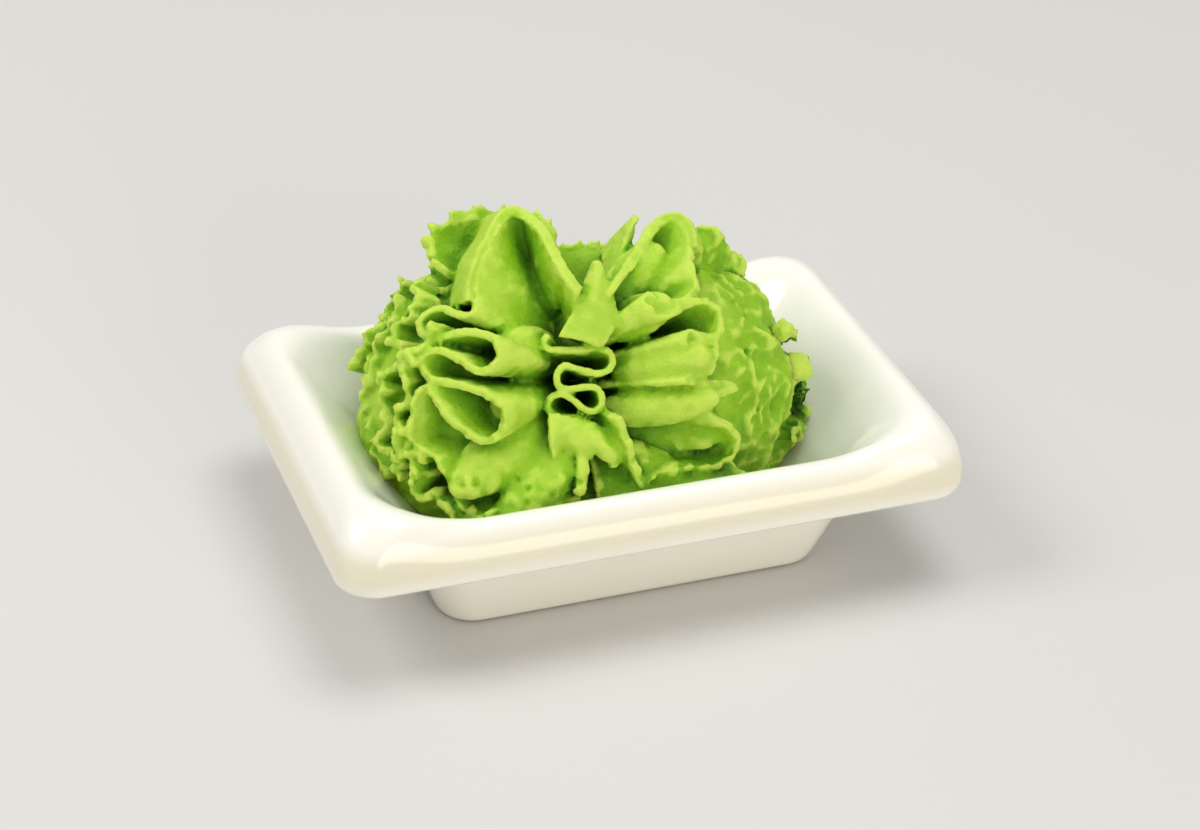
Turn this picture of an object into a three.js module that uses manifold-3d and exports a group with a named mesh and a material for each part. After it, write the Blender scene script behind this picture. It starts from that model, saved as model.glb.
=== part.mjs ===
// Small rectangular sauce dish of glazed ceramic with a ruffled mound of green paste.
// Units are millimetres. +X is the dish's length, -Y its front side, +Z up, z = 0 the table.
import * as THREE from 'three';
import Module from 'manifold-3d';

// ---- dish, driving dimensions -------------------------------------------------------
const LENGTH = 90.0;            // over the flange
const WIDTH = 58.0;
const RIM_MID = 21.0;           // crest height in the middle of a long side
const RIM_LIFT = 2.7;           // how much higher the crest stands at the two ends
const LIP_LOW = 13.6;           // lower edge of the flange's lip
const FOOT_L = 55.6;            // foot ring over its outside
const FOOT_W = 39.6;
const FOOT_WALL = 2.8;          // width of the ring that touches the table
const FOOT_RECESS = 2.4;        // depth of the hollow under the base
const FLOOR_Z = 7.2;            // top of the basin floor
const LIFT_START = 0.62;        // share of the half length where the long crest starts to rise

// ---- paste, driving dimensions ------------------------------------------------------
const CLEAR = 0.45;             // gap kept between the paste and the glaze
const SHEET = 2.2;              // thickness of a ruffle, rims rounded
const BLEND = 1.2;              // radius that softens where ruffles meet the mound
const GRID = 2.3;               // spacing of the grid that the paste is surfaced on
const CORE = [-5.5, -3.5];      // the vertical line that all front ruffles gather on
const MOUND_C = [-2.0, 0.0, 15.0];

// Round masses under the ruffles: centre, then radii.
const MASSES = [
  [[-3.0, 1.0, 15.0], [22.0, 14.5, 22.0]],
  [[-1.0, 0.0, 15.0], [26.0, 19.0, 12.5]],
  [[13.2, 1.5, 16.5], [15.8, 16.2, 22.0]],
  [[-18.0, 1.5, 19.0], [12.5, 14.5, 17.0]],
];

// One row per level of the dish: half length, half width, corner radius, height, share of
// the rim lift. The rows run from the underside's middle round the lip to the basin floor.
const HL = LENGTH / 2, HW = WIDTH / 2, FL = FOOT_L / 2, FW = FOOT_W / 2;
const DISH_ROWS = [
  [FL - FOOT_WALL - 1.0, FW - FOOT_WALL - 1.0, 3.6, FOOT_RECESS, 0],
  [FL - FOOT_WALL - 0.3, FW - FOOT_WALL - 0.3, 3.8, FOOT_RECESS - 0.5, 0],
  [FL - FOOT_WALL, FW - FOOT_WALL, 4.0, 0.0, 0],
  [FL - 0.5, FW - 0.5, 4.8, 0.0, 0],
  [FL, FW, 5.1, 0.5, 0],
  [FL + 1.2, FW + 1.2, 5.6, 4.0, 0],
  [FL + 2.5, FW + 2.4, 6.2, 8.0, 0],
  [FL + 3.7, FW + 3.5, 6.8, 11.2, 0],
  [FL + 5.4, FW + 4.7, 7.2, 12.9, 0],
  [FL + 8.4, FW + 6.2, 7.2, 13.5, 0],
  [HL - 1.2, HW - 1.0, 5.4, LIP_LOW, 0],
  [HL - 0.3, HW - 0.3, 5.1, LIP_LOW + 0.35, 0],
  [HL, HW, 5.0, LIP_LOW + 1.2, 0.08],
  [HL - 0.35, HW - 0.3, 5.1, LIP_LOW + 3.7, 0.5],
  [HL - 0.9, HW - 0.8, 5.5, LIP_LOW + 4.9, 0.65],
  [HL - 2.4, HW - 2.1, 6.4, RIM_MID - 0.9, 0.9],
  [HL - 3.4, HW - 2.9, 7.0, RIM_MID - 0.2, 1],
  [HL - 4.2, HW - 3.7, 7.5, RIM_MID, 1],
  [HL - 5.6, HW - 4.9, 8.4, RIM_MID - 0.1, 1],
  [HL - 6.8, HW - 5.8, 8.8, RIM_MID - 0.9, 0.95],
  [HL - 8.6, HW - 6.5, 9.0, RIM_MID - 2.4, 0.75],
  [HL - 11.0, HW - 7.1, 9.0, RIM_MID - 4.3, 0.45],
  [HL - 14.0, HW - 7.8, 8.6, RIM_MID - 6.8, 0.2],
  [HL - 16.6, HW - 8.7, 8.0, RIM_MID - 9.6, 0.05],
  [HL - 18.6, HW - 10.0, 7.2, FLOOR_Z + 2.0, 0],
  [HL - 20.6, HW - 11.6, 6.4, FLOOR_Z + 0.7, 0],
  [HL - 23.2, HW - 14.0, 5.2, FLOOR_Z + 0.1, 0],
];

// Ruffle rims as hand-placed points. Each sheet runs from its rim in to the core line.
const LEFT_RIM = [
  [-8, -9.5, 44.5], [-9, -5, 46.5], [-9.5, 0, 48], [-12, 5, 48.5], [-15.5, 2, 47.5],
  [-18, 0, 46], [-19.5, -2.5, 43.5], [-21.5, -6.5, 40.5], [-24.5, -2.5, 39.5],
  [-27, -3, 37], [-24, -7.5, 38.5], [-20, -11, 39.5], [-20, -13, 37], [-23, -11, 35.8],
  [-27, -7, 36], [-28.5, -7.5, 34], [-24.5, -12.5, 33.3], [-20.5, -15.5, 32],
  [-20.5, -17, 28.5], [-24.5, -15.5, 28], [-28, -10.5, 31.5], [-30.5, -9.5, 26.5],
  [-28, -13, 23.5], [-25.5, -16, 18.5]];
const RIGHT_RIM = [
  [-3.5, -10, 44], [0, -7, 46], [5, -2, 47.3], [10.5, 1, 47], [12, -2.5, 45],
  [9, -9, 43.8], [6, -12.5, 42], [2, -12, 43.3], [2, -13.8, 41.3], [7.5, -13, 41.5],
  [11.5, -13, 40], [10.5, -16, 37], [6.5, -16, 37.8], [10, -16, 37], [9, -17.8, 33.3],
  [4.5, -18.5, 33.5], [13, -17.8, 30.3], [9, -19, 30.3], [9, -19.7, 27.5],
  [13, -19.4, 23], [9.5, -20.3, 19.8], [0, -21, 20.5], [-3.5, -20, 26.5]];
const LEFT_EDGE = [
  [-29, -3, 36], [-31.5, 1, 32], [-29.5, -6, 31], [-33, -1, 27], [-30.5, -9, 26],
  [-33, -4, 21], [-30, -12, 20.5], [-28.5, -13.5, 16]];
const CENTRE_ZIGZAG = [
  [-12.5, -10.5, 37], [-7.5, -12.5, 36.5], [-4, -13.5, 35.2], [-6.5, -14.5, 33.8],
  [-10.5, -13.2, 35], [-11.5, -14, 32.6], [-7, -15.3, 32], [-6, -16.3, 29.8],
  [-10, -15.3, 31.2], [-13, -14.8, 30], [-9.5, -16.3, 28.2], [-4.5, -17, 25.4]];

// ---- helpers ------------------------------------------------------------------------
const QUARTER_LONG = 6, QUARTER_CORNER = 5, QUARTER_SHORT = 2;

function smooth(t) {
  const c = Math.min(1, Math.max(0, t));
  return c * c * (3 - 2 * c);
}

// First quadrant of a rounded rectangle, from the middle of +Y's side to that of +X's side.
function quadrant(a, b, r) {
  const pts = [];
  for (let i = 0; i < QUARTER_LONG; i++) pts.push([(a - r) * i / QUARTER_LONG, b]);
  for (let i = 0; i < QUARTER_CORNER; i++) {
    const t = Math.PI / 2 * (1 - i / QUARTER_CORNER);
    pts.push([a - r + r * Math.cos(t), b - r + r * Math.sin(t)]);
  }
  for (let i = 0; i < QUARTER_SHORT; i++) pts.push([a, (b - r) * (1 - i / QUARTER_SHORT)]);
  return pts;
}

// A closed level of the dish, counter-clockwise seen from above.
function level([a, b, r, z, share]) {
  const q = quadrant(a, b, r);
  const flipX = q.map(([x, y]) => [-x, y]);
  const half = q.concat([[a, 0]], q.slice(1).reverse().map(([x, y]) => [x, -y]));
  const other = [[0, -b]].concat(flipX.slice(1).map(([x, y]) => [x, -y]), [[-a, 0]],
    flipX.slice(1).reverse());
  return half.concat(other).reverse().map(([x, y]) =>
    [x, y, z + RIM_LIFT * share * smooth((Math.abs(x) / a - LIFT_START) / (1 - LIFT_START))]);
}

// A closed solid lofted through levels, both ends closed by a fan on a middle point.
function loft(levels) {
  const n = levels[0].length, verts = levels.flat(), tris = [];
  for (let k = 0; k + 1 < levels.length; k++) {
    for (let i = 0; i < n; i++) {
      const j = (i + 1) % n, a = k * n, b = a + n;
      tris.push([a + i, a + j, b + j], [a + i, b + j, b + i]);
    }
  }
  const last = (levels.length - 1) * n;
  verts.push([0, 0, levels[0][0][2]], [0, 0, levels[levels.length - 1][0][2]]);
  for (let i = 0; i < n; i++) {
    const j = (i + 1) % n;
    tris.push([verts.length - 2, j, i], [verts.length - 1, last + i, last + j]);
  }
  return { verts, tris };
}

function toManifold(wasm, { verts, tris }) {
  const mesh = new wasm.Mesh({
    numProp: 3,
    vertProperties: new Float32Array(verts.flat()),
    triVerts: new Uint32Array(tris.flat()),
  });
  mesh.merge();
  return new wasm.Manifold(mesh);
}

function toGeometry(manifold) {
  const mesh = manifold.getMesh();
  const geometry = new THREE.BufferGeometry();
  geometry.setAttribute('position', new THREE.BufferAttribute(mesh.vertProperties, 3));
  geometry.setIndex(new THREE.BufferAttribute(mesh.triVerts, 1));
  geometry.computeVertexNormals();
  return geometry;
}

// Moves each point towards the middle of its neighbours, which also parts touching points.
function relax(mesh, share) {
  const { vertProperties: at, triVerts } = mesh;
  const sum = new Float64Array(at.length), count = new Float64Array(at.length / 3);
  for (let t = 0; t < triVerts.length; t += 3) {
    for (let k = 0; k < 3; k++) {
      const from = triVerts[t + k], to = triVerts[t + (k + 1) % 3];
      count[from] += 1;
      for (let c = 0; c < 3; c++) sum[3 * from + c] += at[3 * to + c];
    }
  }
  for (let i = 0; i < at.length; i++) {
    at[i] += share * (sum[i] / count[Math.floor(i / 3)] - at[i]);
  }
}

// The outer shell only, relaxed, so that no pocket is left sealed inside.
function outerShell(wasm, manifold) {
  const whole = manifold.decompose().sort((p, q) => q.volume() - p.volume())[0];
  const mesh = whole.getMesh();
  relax(mesh, 0.45);
  return new wasm.Manifold(mesh).decompose().sort((p, q) => q.volume() - p.volume())[0];
}

// ---- paste --------------------------------------------------------------------------
// The far side has the same two fans, turned round and a little lower.
function farSide(rim) {
  return rim.map(([x, y, z]) => [x, 2 - 0.95 * y, z - 0.06 * (z - 15)]);
}

// A point of a ruffle: t = 1 on the rim, t = 0 on the core line, bowed outwards between.
function sheetPoint(rim, core, t, bow) {
  const root = [core[0], core[1], MOUND_C[2] + 0.55 * (rim[2] - MOUND_C[2])];
  const out = rim.map((c, i) => c - MOUND_C[i]);
  const size = Math.hypot(...out), push = bow * Math.sin(Math.PI * t);
  return new THREE.Vector3(...root.map((c, i) => c + (rim[i] - c) * t + out[i] / size * push));
}

// A ruffle as a net of triangles through its middle surface.
function ruffle(rim, core, steps, bow) {
  const tris = [];
  for (let i = 0; i + 1 < rim.length; i++) {
    for (let k = 0; k + 1 < steps.length; k++) {
      const [a, b] = [steps[k], steps[k + 1]].map((t) => sheetPoint(rim[i], core, t, bow));
      const [c, d] = [steps[k], steps[k + 1]].map((t) => sheetPoint(rim[i + 1], core, t, bow));
      tris.push(new THREE.Triangle(a, b, c), new THREE.Triangle(b, d, c));
    }
  }
  return tris.map((tri) => {
    const box = new THREE.Box3().setFromPoints([tri.a, tri.b, tri.c]);
    return { tri, box };
  });
}

const near = new THREE.Vector3();

function sheetDistance(point, sheets, limit) {
  let best = limit;
  for (const { tri, box } of sheets) {
    if (box.distanceToPoint(point) >= best) continue;
    best = Math.min(best, tri.closestPointToPoint(point, near).distanceTo(point));
  }
  return best - SHEET / 2;
}

function massDistance(point) {
  let best = 99;
  for (const [c, r] of MASSES) {
    const q = Math.hypot((point.x - c[0]) / r[0], (point.y - c[1]) / r[1], (point.z - c[2]) / r[2]);
    best = Math.min(best, (q - 1) * Math.min(...r));
  }
  return best;
}

function softUnion(a, b) {
  const h = Math.max(BLEND - Math.abs(a - b), 0) / BLEND;
  return Math.min(a, b) - h * h * BLEND / 4;
}

// How far a point is inside the basin, measured level by level; open air above the crest.
const BASIN = DISH_ROWS.slice(17).reverse();

function basinDepth(p) {
  let k = 0;
  while (k + 2 < BASIN.length && BASIN[k + 1][3] < p.z) k++;
  const [lo, hi] = [BASIN[k], BASIN[k + 1]];
  const t = Math.max(0, (p.z - lo[3]) / (hi[3] - lo[3]));
  const [a, b, r] = lo.map((v, i) => v + (hi[i] - v) * Math.min(t, 6));
  const x = Math.abs(p.x) - (a - r), y = Math.abs(p.y) - (b - r);
  const edge = r - Math.hypot(Math.max(x, 0), Math.max(y, 0)) - Math.min(Math.max(x, y), 0);
  return Math.min(0.75 * edge, p.z - FLOOR_Z) - CLEAR;
}

function paste(wasm) {
  const steps = [0.3, 0.65, 1], far = [-4, 5];
  const sheets = ruffle(LEFT_RIM, CORE, steps, 2.4)
    .concat(ruffle(RIGHT_RIM, CORE, steps, 2.2))
    .concat(ruffle(LEFT_EDGE, CORE, [0.6, 1], 0))
    .concat(ruffle(CENTRE_ZIGZAG, CORE, [0.3, 1], 0))
    .concat(ruffle(farSide(LEFT_RIM), far, steps, 2.0))
    .concat(ruffle(farSide(RIGHT_RIM), far, steps, 2.0));
  const point = new THREE.Vector3();
  const inside = (p) => {
    point.set(...p);
    const solid = -softUnion(massDistance(point), sheetDistance(point, sheets, 6));
    return Math.min(solid, basinDepth(point));
  };
  const bounds = { min: [-37, -24, 5], max: [32, 25, 53] };
  return outerShell(wasm, wasm.Manifold.levelSet(inside, bounds, GRID, 0).simplify(0.22));
}

// ---- the part -----------------------------------------------------------------------
const wasm = await Module();
wasm.setup();

function part(name, color, roughness, geometry) {
  const mesh = new THREE.Mesh(geometry, new THREE.MeshStandardMaterial({ color, roughness }));
  mesh.name = name;
  return mesh;
}

const dish = toManifold(wasm, loft(DISH_ROWS.map(level)));
const group = new THREE.Group();
group.add(part('dish', 0xf4f1e4, 0.15, toGeometry(dish)));
group.add(part('wasabi_paste', 0x9ccc34, 0.55, toGeometry(paste(wasm))));

export default group;
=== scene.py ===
"""Small glazed sauce dish with a ruffled mound of wasabi paste, laid out as an add-on."""
import math

import bmesh
import bpy
import numpy as np
from mathutils import Matrix, Quaternion, Vector, noise
from mathutils.bvhtree import BVHTree


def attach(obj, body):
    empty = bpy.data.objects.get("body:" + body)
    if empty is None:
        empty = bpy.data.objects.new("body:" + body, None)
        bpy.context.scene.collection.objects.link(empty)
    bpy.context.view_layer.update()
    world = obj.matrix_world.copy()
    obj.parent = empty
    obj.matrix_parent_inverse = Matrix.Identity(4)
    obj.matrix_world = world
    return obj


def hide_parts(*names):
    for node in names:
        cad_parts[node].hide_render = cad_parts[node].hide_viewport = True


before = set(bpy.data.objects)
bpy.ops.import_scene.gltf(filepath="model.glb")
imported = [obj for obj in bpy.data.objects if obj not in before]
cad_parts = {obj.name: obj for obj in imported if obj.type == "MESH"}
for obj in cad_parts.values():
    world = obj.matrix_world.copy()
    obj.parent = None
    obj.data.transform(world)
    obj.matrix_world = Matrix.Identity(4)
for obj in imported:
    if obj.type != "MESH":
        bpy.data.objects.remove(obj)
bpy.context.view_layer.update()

bl_info = {
    "name": "Wasabi in a sauce dish",
    "version": (1, 0, 0),
    "blender": (4, 5, 0),
    "location": "3D View > Sidebar > Wasabi",
    "description": "Glazed rectangular sauce dish with a ruffled mound of wasabi paste",
    "category": "Object",
}

MM = 0.001

# ---------------------------------------------------------------- dish levels
# One row per level: how far it lies inside the flange's outline in length and in width,
# the corner radius, the height, and its share of the rise of the rim at the two ends.
# Rows run from under the base, round the foot, body and lip, over the crest, to the floor.
# Lengths are in millimetres.
HALF_L, HALF_W = 45.0, 29.0
FOOT_IN_L, FOOT_IN_W, RING = 17.2, 9.2, 2.8
DISH_ROWS = (
    (FOOT_IN_L + RING + 1.6, FOOT_IN_W + RING + 1.6, 3.4, 2.4, 0.0),
    (FOOT_IN_L + RING + 0.8, FOOT_IN_W + RING + 0.8, 3.7, 2.2, 0.0),
    (FOOT_IN_L + RING + 0.2, FOOT_IN_W + RING + 0.2, 3.9, 1.5, 0.0),
    (FOOT_IN_L + RING, FOOT_IN_W + RING, 4.0, 0.5, 0.0),
    (FOOT_IN_L + RING - 0.5, FOOT_IN_W + RING - 0.5, 4.1, 0.0, 0.0),
    (FOOT_IN_L + 0.7, FOOT_IN_W + 0.7, 4.8, 0.0, 0.0),
    (FOOT_IN_L + 0.1, FOOT_IN_W + 0.1, 5.0, 0.35, 0.0),
    (FOOT_IN_L - 0.2, FOOT_IN_W - 0.2, 5.1, 1.2, 0.0),
    (FOOT_IN_L - 1.2, FOOT_IN_W - 1.2, 5.6, 4.0, 0.0),
    (FOOT_IN_L - 2.5, FOOT_IN_W - 2.4, 6.2, 8.0, 0.0),
    (FOOT_IN_L - 3.6, FOOT_IN_W - 3.4, 6.8, 11.0, 0.0),
    (FOOT_IN_L - 4.8, FOOT_IN_W - 4.3, 7.1, 12.5, 0.0),
    (FOOT_IN_L - 6.6, FOOT_IN_W - 5.4, 7.2, 13.3, 0.0),
    (FOOT_IN_L - 9.4, FOOT_IN_W - 6.6, 7.0, 13.55, 0.0),
    (1.4, 1.3, 5.6, 13.6, 0.0),
    (0.5, 0.45, 5.2, 13.8, 0.0),
    (0.05, 0.05, 5.0, 14.5, 0.05),
    (0.05, 0.05, 5.0, 15.6, 0.2),
    (0.35, 0.3, 5.1, 17.2, 0.45),
    (0.9, 0.8, 5.5, 18.5, 0.65),
    (1.8, 1.6, 6.1, 19.6, 0.82),
    (2.8, 2.4, 6.7, 20.4, 0.95),
    (3.7, 3.2, 7.2, 20.9, 1.0),
    (4.6, 4.0, 7.8, 21.0, 1.0),
    (5.6, 4.8, 8.4, 20.8, 1.0),
    (6.8, 5.6, 8.8, 20.1, 0.95),
    (8.6, 6.4, 9.0, 18.6, 0.75),
    (11.0, 7.1, 9.0, 16.6, 0.45),
    (14.0, 7.8, 8.6, 14.0, 0.2),
    (16.6, 8.7, 8.0, 11.3, 0.05),
    (18.6, 10.0, 7.2, 9.2, 0.0),
    (20.6, 11.6, 6.4, 7.9, 0.0),
    (23.2, 14.0, 5.2, 7.3, 0.0),
    (27.0, 17.5, 4.0, 7.2, 0.0),
)
CREST_ROW = max(range(len(DISH_ROWS)), key=lambda k: DISH_ROWS[k][3])
BASIN_ROWS = DISH_ROWS[:CREST_ROW - 1:-1]   # from the floor up to the crest
RISE_FROM = 0.62            # share of the half length where the rim starts to rise
CREST_IN_L, CREST_IN_W = 4.4, 3.8   # the line that parts the outer glaze, with its painted shade, from the inner walls with their painted light
CREST_SHARPNESS = 20.0      # how quickly the painted light and shade change over that line
OUTER_MASK_TOP = 13.0      # up to this height all glaze counts as outer, in the basin too, and takes the painted shade, not the painted light

# ---------------------------------------------------------------- folds of the paste
# Rims in millimetres. A fold runs from its rim in to the dark core that all gather on.
LEFT_FAN = (
    (-7.5, -10.0, 44.0), (-8.5, -8.5, 45.5), (-9.0, -5.0, 46.8), (-9.0, -1.0, 47.8),
    (-9.8, 2.5, 48.4), (-11.8, 4.5, 48.8), (-13.8, 3.5, 48.4), (-15.6, 1.5, 47.4),
    (-17.6, -0.5, 46.0), (-19.0, -2.0, 44.2), (-19.8, -3.0, 42.6), (-20.4, -5.0, 41.6),
    (-21.4, -6.2, 40.6), (-22.8, -4.8, 40.0), (-24.4, -2.4, 39.8), (-26.4, -1.8, 38.6),
    (-27.2, -3.2, 37.4), (-26.2, -5.4, 37.2), (-24.6, -6.8, 38.2), (-22.8, -8.2, 39.2),
    (-21.0, -10.0, 39.7), (-19.8, -11.6, 39.2), (-19.7, -12.8, 38.0), (-20.6, -13.2, 36.7),
    (-22.0, -12.8, 35.7), (-23.4, -11.2, 35.9), (-24.8, -9.2, 36.5), (-26.2, -7.4, 36.5),
    (-27.6, -6.6, 35.6), (-28.4, -7.2, 34.2), (-27.9, -8.6, 33.2), (-26.6, -10.0, 33.2),
    (-24.8, -12.0, 33.6), (-22.6, -14.2, 33.4), (-21.0, -15.6, 32.5), (-20.0, -16.6, 30.9),
    (-20.3, -17.2, 29.0), (-21.6, -17.0, 27.5), (-23.4, -16.0, 27.3), (-25.2, -14.6, 28.3),
    (-26.6, -12.8, 29.6), (-27.6, -11.0, 31.0), (-28.4, -9.4, 32.2), (-29.3, -8.8, 31.2),
    (-30.0, -9.2, 29.0), (-30.6, -9.8, 26.8), (-30.4, -10.8, 24.8), (-29.0, -12.4, 24.2),
    (-27.8, -13.8, 23.4), (-27.0, -14.8, 21.4), (-26.0, -15.8, 19.0), (-24.8, -16.8, 16.8),
)
RIGHT_FAN = (
    (-3.7, -10.8, 43.3), (-2.0, -9.6, 44.4), (0.1, -7.4, 44.7), (2.8, -4.4, 45.0),
    (5.5, -1.6, 46.2), (8.4, 0.8, 46.4), (10.8, 1.0, 46.3), (11.4, -1.4, 45.7),
    (10.6, -4.8, 44.8), (9.4, -7.8, 44.2), (9.4, -10.4, 42.8), (7.8, -12.0, 42.0),
    (5.4, -12.8, 41.8), (3.4, -12.8, 42.2), (2.2, -11.9, 43.2), (1.6, -12.6, 42.8),
    (2.0, -13.8, 41.4), (4.4, -14.0, 41.0), (6.6, -13.2, 41.4), (8.8, -12.6, 41.4),
    (11.0, -12.8, 40.4), (11.9, -13.8, 39.0), (11.2, -15.2, 37.6), (9.6, -15.6, 37.6),
    (7.4, -15.2, 38.4), (6.2, -15.8, 37.9), (6.8, -16.3, 37.0), (8.6, -16.0, 37.2),
    (10.0, -15.9, 36.8), (9.9, -16.8, 35.2), (9.0, -17.7, 33.6), (6.6, -18.2, 33.4),
    (4.8, -18.6, 33.2), (7.0, -18.2, 32.4), (10.4, -17.8, 31.2), (13.0, -17.5, 30.2),
    (11.2, -18.3, 30.2), (9.2, -18.9, 30.2), (8.6, -19.5, 28.4), (9.8, -19.7, 26.6),
    (12.0, -19.6, 25.0), (13.2, -19.5, 22.8), (12.4, -19.8, 20.6), (9.8, -20.3, 19.6),
    (7.0, -20.7, 20.0), (4.4, -21.0, 20.5), (1.8, -21.2, 20.4), (0.2, -21.4, 20.0),
    (-1.0, -21.5, 19.2), (-2.2, -21.1, 22.0), (-3.4, -20.6, 26.0), (-4.4, -19.7, 29.6),
)
ZIGZAG = (
    (-11.8, -10.4, 38.4), (-12.8, -10.8, 37.2), (-11.2, -11.4, 36.6), (-9.2, -11.9, 36.6),
    (-7.0, -12.6, 36.7), (-5.2, -13.0, 36.6), (-3.8, -13.4, 35.8), (-3.6, -14.0, 34.6),
    (-4.8, -14.5, 33.8), (-6.4, -14.5, 33.7), (-7.8, -14.1, 34.3), (-9.2, -13.6, 35.0),
    (-10.6, -13.2, 35.1), (-11.6, -13.4, 34.0), (-11.5, -14.2, 32.6), (-10.2, -14.8, 32.1),
    (-8.4, -15.0, 32.2), (-6.8, -15.3, 32.2), (-5.7, -15.8, 31.4), (-5.8, -16.4, 30.0),
    (-7.0, -16.6, 29.2), (-8.4, -16.3, 29.6), (-9.6, -15.7, 30.8), (-11.0, -15.0, 31.7),
    (-12.5, -14.6, 31.2), (-13.1, -14.9, 29.9), (-12.2, -15.7, 29.0), (-10.6, -16.2, 28.6),
    (-8.8, -16.6, 28.0), (-6.8, -17.0, 27.0), (-4.6, -17.4, 25.2),
)
BACK_LOBE = (
    (-4.4, 7.0, 42.0), (-4.8, 8.8, 44.4), (-6.4, 10.2, 45.4), (-8.4, 9.8, 44.8),
    (-10.4, 10.8, 46.0), (-13.0, 10.6, 45.6), (-15.4, 11.0, 46.6), (-18.0, 10.4, 46.2),
    (-20.4, 10.2, 44.8), (-22.2, 9.0, 43.6), (-22.8, 6.6, 42.4), (-21.8, 4.0, 41.6),
)
# Loose leaves: name, the edge that is rooted, the edge that is torn, bow, how torn.
LEAVES = (
    ("flag", ((-10.5, -11.0, 38.0), (-8.6, -10.0, 40.2), (-6.4, -8.6, 43.0), (-4.4, -7.1, 45.3)),
     ((-5.2, -13.2, 36.8), (-2.9, -12.2, 39.4), (-2.8, -10.0, 42.0), (-4.0, -7.2, 45.4)), 0.8, 0.2),
    ("skirt", ((-13.0, -15.4, 29.2), (-10.6, -16.2, 28.6), (-8.8, -16.6, 28.0), (-6.8, -17.0, 27.0),
               (-4.6, -17.4, 25.4)),
     ((-13.6, -18.8, 24.0), (-11.6, -18.3, 25.2), (-9.4, -19.2, 23.7), (-7.2, -18.8, 24.0),
      (-5.4, -19.6, 22.5), (-3.6, -19.0, 23.4)), 1.3, 0.9),
    ("strand", ((-10.0, -18.6, 25.4), (-10.2, -20.0, 22.4), (-10.6, -21.0, 19.6)),
     ((-9.0, -18.8, 25.2), (-9.2, -20.3, 22.4), (-10.0, -21.2, 19.6)), 0.4, 0.0),
    ("low_left", ((-16.5, -10.6, 27.0), (-14.0, -10.8, 26.5), (-12.0, -10.6, 24.5), (-10.0, -10.0, 22.0)),
     ((-25.5, -15.6, 16.6), (-20.5, -19.2, 17.2), (-15.0, -20.8, 17.8), (-10.0, -21.2, 18.2)), -0.6, 0.15),
    ("low_right", ((-7.0, -14.5, 22.5), (-3.0, -16.0, 22.0), (3.0, -16.0, 21.0), (10.0, -15.0, 20.0)),
     ((-7.5, -21.2, 17.4), (0.0, -21.6, 17.4), (8.0, -21.4, 17.4), (15.0, -19.8, 16.6)), 0.4, 0.2),
    ("thin_back", ((-6.6, -1.0, 33.0), (-3.0, -2.0, 32.0), (0.5, -2.0, 34.0)),
     ((-5.2, 6.4, 41.6), (-1.8, 6.8, 41.4), (1.8, 6.4, 41.2)), 0.3, 0.2),
    ("spike", ((1.4, 4.0, 40.6), (3.0, 3.2, 43.6), (5.1, 2.0, 46.6)),
     ((-2.0, -6.0, 41.0), (1.4, -2.6, 43.4), (4.9, 1.4, 46.6)), 0.4, 0.1),
    ("right_back", ((10.0, 2.0, 36.0), (12.0, 2.0, 36.5), (14.0, 2.0, 36.0), (16.0, 2.0, 34.0),
                    (18.0, 2.0, 31.0)),
     ((13.2, 3.6, 41.6), (15.4, 4.4, 42.2), (17.2, 4.0, 42.6), (19.2, 3.6, 40.8),
      (22.6, 3.4, 35.8)), 1.0, 0.5),
)
# Torn ribbons round the outside: name, spine points, swing, and the share of the way
# from the core to the rim where it starts.
RIBBONS = (
    ("left_1", ((-24.4, 5.0, 40.2), (-26.8, 2.5, 38.0), (-29.6, 0.0, 34.4), (-32.0, -2.5, 29.5),
                (-33.0, -5.0, 24.0), (-31.6, -9.5, 18.5)), 1.3, 0.86),
    ("left_2", ((-25.0, 9.0, 37.0), (-29.5, 5.5, 33.0), (-32.4, 3.0, 27.5), (-33.4, 0.5, 21.0),
                (-32.4, -5.0, 16.0)), 1.3, 0.86),
    ("left_3", ((-24.0, 13.0, 36.0), (-28.0, 12.0, 30.0), (-30.5, 10.0, 24.0), (-31.0, 7.0, 17.0)),
     1.4, 0.86),
    ("left_low", ((-32.0, -7.5, 25.0), (-31.6, -10.8, 21.6), (-29.6, -14.0, 18.6),
                  (-26.0, -17.0, 17.2), (-22.0, -19.4, 17.2), (-18.0, -20.7, 17.6)), 1.0, 0.8),
    ("left_mid", ((-26.8, -3.0, 38.4), (-29.6, -5.0, 34.6), (-31.2, -6.6, 30.0), (-31.4, -8.6, 25.6),
                  (-30.0, -11.8, 21.4)), 1.2, 0.84),
    ("far_1", ((-18.0, 15.5, 37.0), (-21.0, 18.0, 30.0), (-22.0, 19.5, 22.0), (-20.0, 20.5, 16.0)),
     1.6, 0.74),
    ("far_2", ((18.0, 13.0, 35.0), (22.0, 15.0, 29.0), (24.0, 15.5, 22.0), (24.0, 15.0, 15.0)),
     1.6, 0.74),
)
# Round masses that fill the mound: centre and radii.
MASSES = (
    ((-3.0, 3.0, 14.0), (19.0, 11.0, 22.0)),
    ((-1.0, 0.0, 14.5), (26.0, 18.5, 10.0)),
    ((13.0, 1.5, 15.5), (16.4, 16.5, 22.0)),
    ((-17.5, 2.0, 17.5), (15.6, 15.2, 19.2)),
)
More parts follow.
